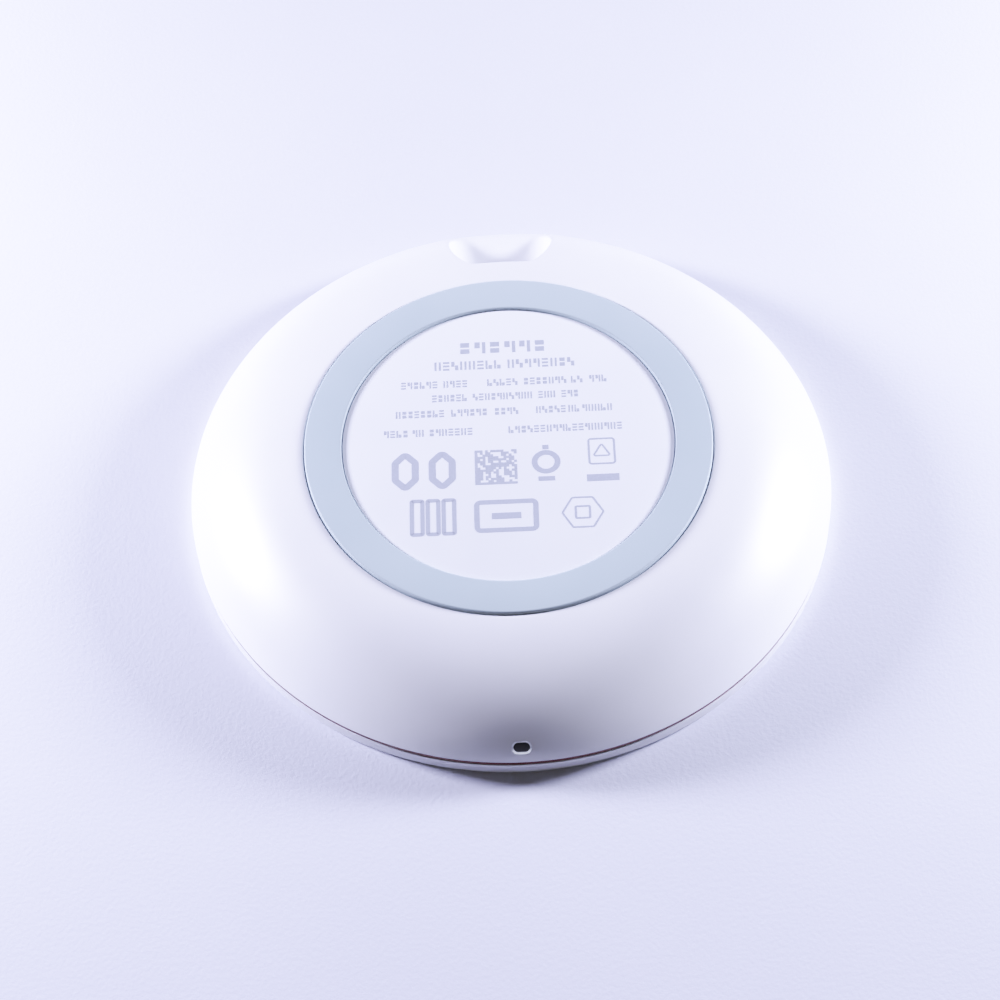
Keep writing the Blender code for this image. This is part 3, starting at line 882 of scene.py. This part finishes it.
def coverMesh(s):
    inner, outer, top = s["skirt"]
    pocket, pocketZ = s["recess"]
    outline = [(0, s["inside"]), (inner, s["inside"]), (inner, top), (outer, top), (outer, s["lip"])]
    outline += [(s["rim"], s["lip"]), (s["rim"], s["face"]), (pocket, s["face"])]
    outline += [(pocket, pocketZ), (0, pocketZ)]
    radii = [0, 0.4, 0.15, 0.4, 0.2, 0.08, s["edge"], 0.1, 0.05, 0]
    cover = turnedMesh("cover_shell", roundCorners(outline, radii, 6), s["columns"])
    spots = around(hollowSet["screwCircle"], hollowSet["screwTurns"])
    cover = carved(cover, solidsMesh((), [(spot, *s["boss"]) for spot in spots]), "UNION")
    return carved(cover, solidsMesh(s["notches"]))


newPiece("cover_shell", coverMesh(coverSet), "shell", ["top_cover"])
inlay = roundCorners([(0, 0.6), (45.2, 0.6), (45.2, 0.0), (0, 0.0)], [0, 0.1, 0.2, 0], 5)
newPiece("charging_inlay", turnedMesh("charging_inlay", inlay, 288), "pad", ["charging_pad"])
label = roundCorners([(0, 14.3), (25.48, 14.3), (25.48, 13.2), (0, 13.2)], [0, 0.1, 0.05, 0], 5)
newPiece("label_plate", turnedMesh("label_plate", label, 288), "label", ["label_disc"])

ringSet = {
    "foot_band": {
        "inner": 25.6,
        "outer": 31.34,
        "low": 13.2,
        "high": 14.8,
        "round": 0.34,
        "finish": "foot",
        "slot": "foot_grey",
        "stands": ["foot_ring"],
    },
    "accent_band": {
        "inner": 47.6,
        "outer": 49.88,
        "low": 2.56,
        "high": 3.28,
        "round": 0.06,
        "finish": "accent",
        "slot": "accent_red",
        "stands": ["accent_ring"],
    },
}


def grown(group, values, start=None):
    # the mesh that a geometry tree makes with these inputs
    host = bpy.data.objects.new("host", start or bpy.data.meshes.new("host"))
    scene.collection.objects.link(host)
    step = host.modifiers.new("grow", "NODES")
    step.node_group = group
    for socket in group.interface.items_tree:
        if socket.in_out == "INPUT" and socket.name in values:
            step[socket.identifier] = values[socket.name]
    bpy.context.view_layer.update()
    seen = host.evaluated_get(bpy.context.evaluated_depsgraph_get())
    made = bpy.data.meshes.new_from_object(seen)
    host.modifiers.clear()
    bpy.data.objects.remove(host)
    return made


def newGroup(name, inputs):
    # a geometry tree with these inputs, the links that carry them, and its one output still open
    group = bpy.data.node_groups.new(name, "GeometryNodeTree")
    tree = Tree(group)
    group.interface.new_socket("Geometry", in_out="OUTPUT", socket_type="NodeSocketGeometry")
    for title, kind in inputs.items():
        group.interface.new_socket(title, in_out="INPUT", socket_type=f"NodeSocket{kind}")
    given = group.nodes.new("NodeGroupInput")
    links = {title: Link(tree, given.outputs[title]) for title in inputs}
    return group, tree, links


def closeGroup(tree, shape, finish):
    shape = tree.add("GeometryNodeRealizeInstances", None, {"Geometry": shape})
    shape = tree.add("GeometryNodeSetMaterial", None, {"Geometry": shape, "Material": finish})
    tree.add("NodeGroupOutput", None, {"Geometry": shape})


def bandTree():
    # a rounded band swept round the pad's axis
    sizes = dict.fromkeys(("Inner", "Outer", "Low", "High", "Round"), "Float")
    group, tree, given = newGroup("swept_band", {**sizes, "Finish": "Material"})
    inner, outer, low, high = (given[n] for n in ("Inner", "Outer", "Low", "High"))
    values = {"Resolution": 288, "Radius": (inner + outer) * 0.5}
    path = tree.add("GeometryNodeCurvePrimitiveCircle", None, values)
    lift = tree.add("ShaderNodeCombineXYZ", None, {"Z": (low + high) * 0.5})
    path = tree.add("GeometryNodeTransform", None, {"Geometry": path, "Translation": lift})
    values = {"Width": outer - inner, "Height": high - low}
    section = tree.add("GeometryNodeCurvePrimitiveQuadrilateral", None, values)
    section = tree.rounded(section, given["Round"], 7)
    band = tree.add("GeometryNodeCurveToMesh", None, {"Curve": path, "Profile Curve": section})
    closeGroup(tree, band, given["Finish"])
    return group


bandGroup = bandTree()
for name, s in ringSet.items():
    values = {key.capitalize(): s[key] * mm for key in ("inner", "outer", "low", "high", "round")}
    values["Finish"] = finishes[s["finish"]]
    newPiece(name, grown(bandGroup, values), s["finish"], s["stands"])
print("cover, label and bands made")

# print on the label: rows of plain marks, a cell pattern and simple symbols

printSet = {
    "turn": -0.35,  # degrees on the label
    "top": 14.308,
    "thick": 0.024,
    # rows of words: foot of the row, height, pitch of its marks,
    # then where each word starts and how long it is
    "rows": (
        (17.1, 2.2, 2.35, ((-7.5, 14.1),)),
        (14.0, 1.65, 1.34, ((-11.3, 10.75), (0.15, 10.35))),
        (
            10.65,
            1.3,
            0.98,
            ((-16.5, 5.9), (-9.9, 4.0), (-3.05, 4.9), (2.6, 6.9), (10.0, 1.8), (12.8, 2.9)),
        ),
        (7.95, 1.3, 0.94, ((-11.7, 5.5), (-5.35, 9.5), (4.8, 3.1), (8.4, 2.7))),
        (
            5.05,
            1.3,
            0.96,
            ((-17.35, 7.75), (-8.75, 5.8), (-2.05, 3.4), (4.35, 4.5), (9.35, 1.65), (11.5, 4.8)),
        ),
        (1.45, 1.3, 0.98, ((-19.2, 3.45), (-14.8, 1.85), (-12.2, 7.05), (0.0, 17.7))),
    ),
    # each mark is a few blocks in a cell one wide and one high: place, size
    "marks": (
        (((-0.34, 0.5), (0.24, 1.0)), ((0.17, 0.22), (0.46, 0.44))),
        (((-0.26, 0.72), (0.4, 0.56)), ((0.26, 0.28), (0.4, 0.56))),
        (((0.0, 0.1), (0.84, 0.2)), ((0.0, 0.5), (0.84, 0.2)), ((0.0, 0.9), (0.84, 0.2))),
        (((-0.3, 0.5), (0.24, 1.0)), ((0.3, 0.5), (0.24, 1.0))),
        (((-0.2, 0.74), (0.4, 0.52)), ((0.32, 0.5), (0.24, 1.0))),
        (((0.0, 0.22), (0.7, 0.4)), ((0.0, 0.78), (0.7, 0.4))),
    ),
    "fill": 0.84,  # share of its pitch that a mark takes
    "seed": 11,
    "cell": 0.4,
    "cells": 15,
    "code": (-1.8, -4.6),
    "codeFull": 0.56,
    # symbols: corners, radius, stretch in x and y, turn, rounding, stroke, place
    "symbols": (
        (6, 3.15, (0.56, 1.0), 30, 0.5, 1.05, (-15.85, -5.0)),
        (6, 3.15, (0.56, 1.0), 30, 0.5, 1.05, (-10.2, -5.0)),
        (48, 1.75, (1.0, 1.0), 0, 0, 0.85, (5.65, -4.2)),
        (4, 2.75, (1.0, 1.2), 45, 0.4, 0.28, (14.2, -2.6)),
        (3, 1.5, (1.0, 1.0), 90, 0.2, 0.25, (14.2, -2.7)),
        (4, 2.35, (0.48, 1.83), 45, 0.2, 0.62, (-14.1, -13.6)),
        (4, 2.35, (0.48, 1.83), 45, 0.2, 0.62, (-11.7, -13.6)),
        (4, 2.35, (0.48, 1.83), 45, 0.2, 0.62, (-9.3, -13.6)),
        (4, 3.6, (1.75, 1.0), 45, 0.6, 0.78, (-0.65, -13.8)),
        (6, 3.1, (1.0, 1.0), 0, 0.4, 0.26, (10.85, -13.7)),
        (4, 1.5, (1.0, 1.0), 45, 0.15, 0.3, (10.85, -13.7)),
    ),
    # solid bars: place, size
    "bars": (
        ((5.65, -7.3), (2.5, 0.8)),
        ((5.65, -1.45), (0.9, 0.8)),
        ((14.2, -7.5), (4.9, 1.25)),
        ((-0.65, -13.8), (4.4, 1.1)),
        ((-5.0, -4.8), (0.4, 6.4)),
        ((-1.8, -7.8), (6.0, 0.4)),
    ),
}


def blockAt(tree, place, size, thick):
    block = tree.add("GeometryNodeMeshCube", None, {"Size": (*size, thick)})
    return tree.add("GeometryNodeTransform", None, {"Geometry": block, "Translation": (*place, 0)})


def wordTree(marks, fill, thick, seed):
    # each point of the start mesh grows a row of marks picked at random
    group, tree, given = newGroup("printed_words", {"Words": "Geometry", "Finish": "Material"})
    pitch, tall, count = (
        tree.add("GeometryNodeInputNamedAttribute", {"data_type": kind}, {"Name": title})
        for title, kind in (("pitch", "FLOAT"), ("tall", "FLOAT"), ("count", "INT"))
    )
    values = {"Geometry": given["Words"], "Amount": count}
    copy = tree.add("GeometryNodeDuplicateElements", {"domain": "POINT"}, values)
    index = Link(tree, copy.socket.node.outputs["Duplicate Index"])
    step = tree.add("ShaderNodeCombineXYZ", None, {"X": (index + 0.5) * pitch})
    spots = tree.add("GeometryNodeSetPosition", None, {"Geometry": copy, "Offset": step})
    shapes = []
    for blocks in marks:
        parts = [blockAt(tree, place, size, thick) for place, size in blocks]
        whole = tree.add("GeometryNodeJoinGeometry", None, {"Geometry": parts})
        shapes.append(tree.add("GeometryNodeGeometryToInstance", None, {"Geometry": whole}))
    shelf = tree.add("GeometryNodeJoinGeometry", None, {"Geometry": shapes})
    pick = tree.add("FunctionNodeRandomValue", {"data_type": "INT"}, out=2)
    for socket, value in zip(pick.socket.node.inputs[4:6], (0, len(marks) - 1)):
        socket.default_value = value
    pick.socket.node.inputs["Seed"].default_value = seed
    scale = tree.add("ShaderNodeCombineXYZ", None, {"X": pitch * fill, "Y": tall, "Z": 1.0})
    values = {"Points": spots, "Instance": shelf, "Pick Instance": True}
    values |= {"Instance Index": pick, "Scale": scale}
    closeGroup(tree, tree.add("GeometryNodeInstanceOnPoints", None, values), given["Finish"])
    return group


def codeTree(cells, cell, full, thick, seed):
    # a square of small cells, each filled or left empty at random
    group, tree, given = newGroup("cell_pattern", {"Place": "Vector", "Finish": "Material"})
    side = cell * (cells - 1)
    values = {"Size X": side, "Size Y": side, "Vertices X": cells, "Vertices Y": cells}
    grid = tree.add("GeometryNodeMeshGrid", None, values)
    grid = tree.add("GeometryNodeTransform", None, {"Geometry": grid, "Translation": given["Place"]})
    chance = tree.add("FunctionNodeRandomValue", {"data_type": "BOOLEAN"}, out=3)
    chance.socket.node.inputs["Probability"].default_value = full
    chance.socket.node.inputs["Seed"].default_value = seed
    block = tree.add("GeometryNodeMeshCube", None, {"Size": (cell * 0.98, cell * 0.98, thick)})
    values = {"Points": grid, "Selection": chance, "Instance": block}
    closeGroup(tree, tree.add("GeometryNodeInstanceOnPoints", None, values), given["Finish"])
    return group


def symbolTree(thick):
    # the outline of an even-sided shape, drawn as a flat band
    inputs = dict.fromkeys(("Radius", "Bend", "Stroke"), "Float")
    inputs |= dict.fromkeys(("Stretch", "Turn", "Place"), "Vector")
    inputs |= {"Corners": "Int", "Finish": "Material"}
    group, tree, given = newGroup("symbol_outline", inputs)
    values = {"Resolution": given["Corners"], "Radius": given["Radius"]}
    path = tree.add("GeometryNodeCurvePrimitiveCircle", None, values)
    path = tree.add("GeometryNodeTransform", None, {"Geometry": path, "Rotation": given["Turn"]})
    path = tree.add("GeometryNodeTransform", None, {"Geometry": path, "Scale": given["Stretch"]})
    path = tree.rounded(path, given["Bend"], 6)
    path = tree.add("GeometryNodeTransform", None, {"Geometry": path, "Translation": given["Place"]})
    section = {"Width": given["Stroke"], "Height": thick}
    section = tree.add("GeometryNodeCurvePrimitiveQuadrilateral", None, section)
    band = tree.add("GeometryNodeCurveToMesh", None, {"Curve": path, "Profile Curve": section})
    closeGroup(tree, band, given["Finish"])
    return group


def joined(meshes):
    # several meshes made one
    form = bmesh.new()
    for data in meshes:
        form.from_mesh(data)
        bpy.data.meshes.remove(data)
    whole = bpy.data.meshes.new("joined")
    form.to_mesh(whole)
    form.free()
    return whole


def printMesh(s):
    top, thick = s["top"] * mm, s["thick"] * mm
    words = [(x, foot, tall, pitch, long) for foot, tall, pitch, starts in s["rows"] for x, long in starts]
    start = bpy.data.meshes.new("words")
    start.from_pydata([(x * mm, foot * mm, top) for x, foot, *rest in words], [], [])
    columns = {
        "pitch": ("FLOAT", [pitch * mm for x, foot, tall, pitch, long in words]),
        "tall": ("FLOAT", [tall * mm for x, foot, tall, pitch, long in words]),
        "count": ("INT", [max(1, round(long / pitch)) for x, foot, tall, pitch, long in words]),
    }
    for title, (kind, values) in columns.items():
        start.attributes.new(title, kind, "POINT").data.foreach_set("value", values)
    ink = finishes["ink"]
    made = [grown(wordTree(s["marks"], s["fill"], thick, s["seed"]), {"Finish": ink}, start)]
    code = codeTree(s["cells"], s["cell"] * mm, s["codeFull"], thick, s["seed"])
    made.append(grown(code, {"Place": (s["code"][0] * mm, s["code"][1] * mm, top), "Finish": ink}))
    symbol = symbolTree(thick)
    for corners, radius, stretch, turn, bend, stroke, place in s["symbols"]:
        values = {"Corners": corners, "Radius": radius * mm, "Stretch": (*stretch, 1.0)}
        values["Bend"] = bend * mm
        values |= {"Turn": (0.0, 0.0, math.radians(turn)), "Stroke": stroke * mm}
        values |= {"Place": (place[0] * mm, place[1] * mm, top), "Finish": ink}
        made.append(grown(symbol, values))
    bars = [((*place, s["top"]), (*size, s["thick"])) for place, size in s["bars"]]
    whole = joined(made + [solidsMesh(bars)])
    whole.transform(Matrix.Rotation(math.radians(s["turn"]), 4, "Z"))
    return whole


newPiece("label_print", printMesh(printSet), "ink", [])
print("label printed")

# socket, its tongue and contacts, and the indicator's lens


socketSet = {
    "middle": 9.5,
    "outer": (4.47, 1.63),
    "inner": (4.17, 1.28),
    "front": 35.9,
    "back": 28.55,
    "floor": 29.15,
    "edge": 0.08,
}


def socketMesh(s):
    # a drawn shell: mouth rounded inside and out, a shallow stamped step near the mouth
    (wide, tall), (inWide, inTall), edge = s["outer"], s["inner"], s["edge"]
    front, back, floor = s["front"], s["back"], s["floor"]
    sections = [(wide - 0.2, tall - 0.2, tall, back), (wide, tall, tall, back + 0.2)]
    sections += [(wide, tall, tall, front - edge), (wide - 0.03, tall - 0.03, tall, front - 0.02)]
    sections += [(wide - edge, tall - edge, tall, front), (inWide + edge, inTall + edge, inTall, front)]
    sections += [(inWide + 0.02, inTall + 0.02, inTall, front - 0.03)]
    sections += [(inWide, inTall, inTall, front - edge * 1.5)]
    sections += [(inWide, inTall, inTall, floor + 0.1), (inWide - 0.1, inTall - 0.1, inTall, floor)]
    return slabMesh("socket_shell", sections, s["middle"])


newPiece("socket_shell", socketMesh(socketSet), "plated_steel", ["usb_shell"])

tongueSet = {
    "middle": 9.5,
    "half": 3.345,
    "tall": 0.35,
    "front": 35.15,
    "back": 29.25,
    "contacts": 12,
    "pitch": 0.5,
    "contact": (0.25, 3.6, 0.04),
    "contactY": 33.0,
}


def tongueMesh(s):
    half, tall, front, back = s["half"], s["tall"], s["front"], s["back"]
    sections = [(half, tall + 0.22, 0.12, back), (half, tall + 0.22, 0.12, back + 1.1)]
    sections += [(half, tall, 0.1, back + 1.3)]
    sections += [(half, tall, 0.1, front - 0.2), (half - 0.12, tall - 0.12, 0.08, front)]
    return slabMesh("socket_tongue", sections, s["middle"])


def contactTree(s):
    # a row of contact strips on each face of the tongue
    group, tree, given = newGroup("contact_rows", {"Finish": "Material"})
    wide, long, thick = (v * mm for v in s["contact"])
    strip = tree.add("GeometryNodeMeshCube", None, {"Size": (wide, long, thick)})
    start = -s["pitch"] * (s["contacts"] - 1) / 2 * mm
    rows = []
    for face in (-1, 1):
        height = (s["middle"] + face * (s["tall"] + s["contact"][2] * 0.3)) * mm
        values = {"Count": s["contacts"], "Start Location": (start, s["contactY"] * mm, height)}
        values["Offset"] = (s["pitch"] * mm, 0, 0)
        line = tree.add("GeometryNodeMeshLine", None, values)
        values = {"Points": line, "Instance": strip}
        rows.append(tree.add("GeometryNodeInstanceOnPoints", None, values))
    closeGroup(tree, tree.add("GeometryNodeJoinGeometry", None, {"Geometry": rows}), given["Finish"])
    return group


newPiece("socket_tongue", tongueMesh(tongueSet), "chip_black", ["usb_tongue"])
contacts = grown(contactTree(tongueSet), {"Finish": finishes["contact_gold"]})
newPiece("socket_contacts", contacts, "contact_gold", [])

lensSet = {
    "middle": 5.55,
    "half": 1.21,
    "tall": 0.67,
    "front": -48.74,
    "back": -46.95,
    "lean": 0.68,
    "leanFrom": -47.8,
}


def leanBack(data, s, edge):
    # what lies before edge leans back with the dome
    for corner in data.vertices:
        if corner.co.y < edge * mm:
            corner.co.y += s["lean"] * (corner.co.z - s["middle"] * mm)
    return data


def lensMesh(s):
    # a plug of smoked plastic with a crowned face
    half, tall, front = s["half"], s["tall"], s["front"]
    sections = [(half, tall, tall, s["back"]), (half, tall, tall, front + 0.22)]
    sections += [(half, tall, tall, front + 0.10), (half - 0.05, tall - 0.05, tall, front + 0.04)]
    sections += [(half - 0.2, tall - 0.2, tall, front)]
    return leanBack(slabMesh("lens_plug", sections, s["middle"]), s, s["leanFrom"])


def collarMesh(s):
    # a ring round the lens, thicker below it, with softened front edges
    (wide, tall), (inWide, inTall) = s["outer"], s["inner"]
    front, back, shift = s["front"], s["back"], s["innerMiddle"] - s["middle"]
    sections = [(wide, tall, back, 0), (wide, tall, front + 0.06, 0)]
    sections += [(wide - 0.01, tall - 0.01, front + 0.02, 0), (wide - 0.03, tall - 0.03, front, 0)]
    sections += [(inWide + 0.02, inTall + 0.02, front, shift), (inWide, inTall, front + 0.03, shift)]
    sections += [(inWide, inTall, back, shift)]
    points, faces = [], []
    for half, high, y, lift in sections:
        points += [(x, y, z + lift + s["middle"]) for x, z in slabLoop(half, high, high)]
    size = len(points) // len(sections)
    for start in range(0, len(points), size):
        after = (start + size) % len(points)
        faces += bridge(range(start, start + size), range(after, after + size))
    return leanBack(meshOf("lens_collar", points, faces), s, s["back"] + 0.1)


newPiece("lens_plug", lensMesh(lensSet), "smoked_lens", ["indicator_lens"])
# the collar's lower side glows: a painted highlight
newPiece("lens_collar", collarMesh(collarSet), "collar", [])
print("socket and lens made")

# coil: a flat spiral of round wire

coilSet = {"turns": 13, "inner": 10.45, "outer": 21.55, "height": 2.7, "wire": 0.42}


def coilTree():
    sizes = dict.fromkeys(("Turns", "Inner", "Outer", "Height", "Wire"), "Float")
    group, tree, given = newGroup("flat_coil", {**sizes, "Finish": "Material"})
    values = {"Resolution": 72, "Rotations": given["Turns"], "Start Radius": given["Inner"]}
    values |= {"End Radius": given["Outer"], "Height": 0.0}
    path = tree.add("GeometryNodeCurveSpiral", None, values)
    lift = tree.add("ShaderNodeCombineXYZ", None, {"Z": given["Height"]})
    path = tree.add("GeometryNodeTransform", None, {"Geometry": path, "Translation": lift})
    wire = tree.add("GeometryNodeCurvePrimitiveCircle", None, {"Resolution": 10, "Radius": given["Wire"]})
    values = {"Curve": path, "Profile Curve": wire, "Fill Caps": True}
    closeGroup(tree, tree.add("GeometryNodeCurveToMesh", None, values), given["Finish"])
    return group


def coilMesh(s):
    values = {name.capitalize(): s[name] * mm for name in ("inner", "outer", "height", "wire")}
    values |= {"Turns": float(s["turns"]), "Finish": finishes["coil_copper"]}
    return grown(coilTree(), values)


newPiece("coil_winding", coilMesh(coilSet), "coil_copper", ["transmit_coil"])

# inner parts keep their own shape and take a finish

innerFinish = {
    "case_screw": "plated_steel",
    "board_screw": "plated_steel",
    "crystal": "plated_steel",
    "coil_lead": "coil_copper",
    "adhesive_film": "film_amber",
    "ferrite_shield": "ferrite_grey",
    "filter_inductor": "ferrite_grey",
    "shield_plate": "rolled_aluminium",
    "input_capacitor": "rolled_aluminium",
    "thermistor": "chip_black",
    "control_chip": "chip_black",
    "power_stage": "chip_black",
    "light_sleeve": "chip_black",
    "resonant_capacitor": "ceramic_tan",
    "circuit_board": "board",
    "thermal_pad": "filler_blue",
    "status_led": "clear_guide",
    "light_guide": "clear_guide",
}

for name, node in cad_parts.items():
    for start, finish in innerFinish.items():
        if name.startswith(start):
            node.data.materials.clear()
            node.data.materials.append(finishes[finish])
print("inner parts finished")
